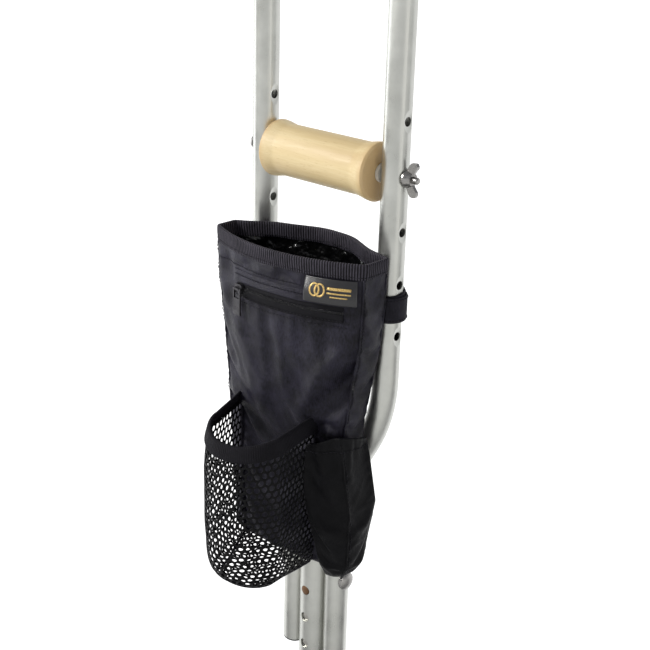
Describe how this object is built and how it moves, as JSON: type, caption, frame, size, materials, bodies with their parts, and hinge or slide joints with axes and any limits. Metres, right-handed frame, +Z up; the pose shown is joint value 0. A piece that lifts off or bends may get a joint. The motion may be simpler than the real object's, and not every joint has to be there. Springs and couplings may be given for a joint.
{
  "type": "underarm crutch",
  "caption": "Adjustable aluminium underarm crutch with a wooden hand grip and a strapped-on black nylon pouch with zip, mesh bottle and pen pockets.",
  "frame": {"origin": "centre of the rubber tip's foot", "axes": "+Z up along the crutch, +X along the hand grip towards the wing nut, -Y the side the pouch hangs on"},
  "size_m": [0.2, 0.1375, 1.147],
  "materials": {
    "tube": "satin drawn tube",
    "steel": "zinc plated",
    "brass": "worn brass",
    "spacer": "natural nylon",
    "wood": "smooth turned hardwood, clear satin",
    "saddle_wood": "smooth hardwood",
    "rubber": "matte grey rubber",
    "foam": "soft closed-cell foam rubber",
    "black_plastic": "moulded",
    "nylon": "packcloth nylon, coated inside",
    "webbing": "ribbed nylon tape",
    "zip_tape": "knitted zip tape",
    "zip_coil": "nylon coil",
    "dark_metal": "gunmetal",
    "label": null,
    "mesh": "open hexagonal knit",
    "elastic": "knitted elastic"
  },
  "bodies": {
    "crutch_frame": {"left_bow": "tube", "right_bow": "tube", "centre_tube": "tube", "upper_cross_bolt": "steel", "upper_cross_nut": "steel", "lower_cross_bolt": "steel", "lower_cross_nut": "steel", "cross_bolt_washers": "steel", "grip_bolt": "steel", "left_grip_spacer": "spacer", "right_grip_spacer": "spacer", "centre_tube_plug": "black_plastic", "left_bow_plug": "black_plastic", "right_bow_plug": "black_plastic", "underarm_saddle": "saddle_wood", "saddle_rivets": "steel", "underarm_pad": "foam", "pouch_front_panel": "nylon", "pouch_right_gusset": "nylon", "pouch_back_panel": "nylon", "pouch_left_gusset": "nylon", "pouch_floor": "nylon", "rim_binding": "webbing", "zip_upper_tape": "zip_tape", "zip_lower_tape": "zip_tape", "zip_coil": "zip_coil", "label_tab": "label", "bottle_pocket_mesh": "mesh", "bottle_pocket_band": "elastic", "pen_pocket": "nylon", "pen_pocket_hem": "nylon", "left_strap": "webbing", "left_strap_end": "webbing", "right_strap": "webbing", "right_strap_end": "webbing"},
    "extension": {"extension_tube": "tube", "tip_washer": "steel", "rubber_tip": "rubber"},
    "snap_button": {"snap_button": "brass", "snap_spring": "steel"},
    "hand_grip": {"hand_grip": "wood"},
    "wing_nut": {"wing_nut": "steel"},
    "zip_slider": {"zip_slider": "dark_metal"},
    "zip_pull": {"zip_pull": "dark_metal"}
  },
  "joints": [
    {"name": "extension_slide", "type": "slide", "parent": "crutch_frame", "child": "extension", "axis": [0, 0, -1], "range_m": [0, 0.1524]},
    {"name": "snap_button_press", "type": "slide", "parent": "extension", "child": "snap_button", "axis": [0, 1, 0], "range_m": [0, 0.0027], "stiffness_N_per_m": 900},
    {"name": "hand_grip_turn", "type": "hinge", "parent": "crutch_frame", "child": "hand_grip", "pos_m": [0, 0, 0.76], "axis": [1, 0, 0], "continuous": true},
    {"name": "wing_nut_spin", "type": "hinge", "parent": "crutch_frame", "child": "wing_nut", "pos_m": [0.076, 0, 0.76], "axis": [1, 0, 0], "continuous": true},
    {"name": "zip_slide", "type": "hinge", "parent": "crutch_frame", "child": "zip_slider", "pos_m": [-0.00726, 0.08474, 0.671], "axis": [0, 0, 1], "range_deg": [0, 32.6]},
    {"name": "zip_pull_swing", "type": "hinge", "parent": "zip_slider", "child": "zip_pull", "pos_m": [-0.02663, -0.06256, 0.671], "axis": [0.9915, -0.1304, 0], "range_deg": [-150, 4]}
  ]
}
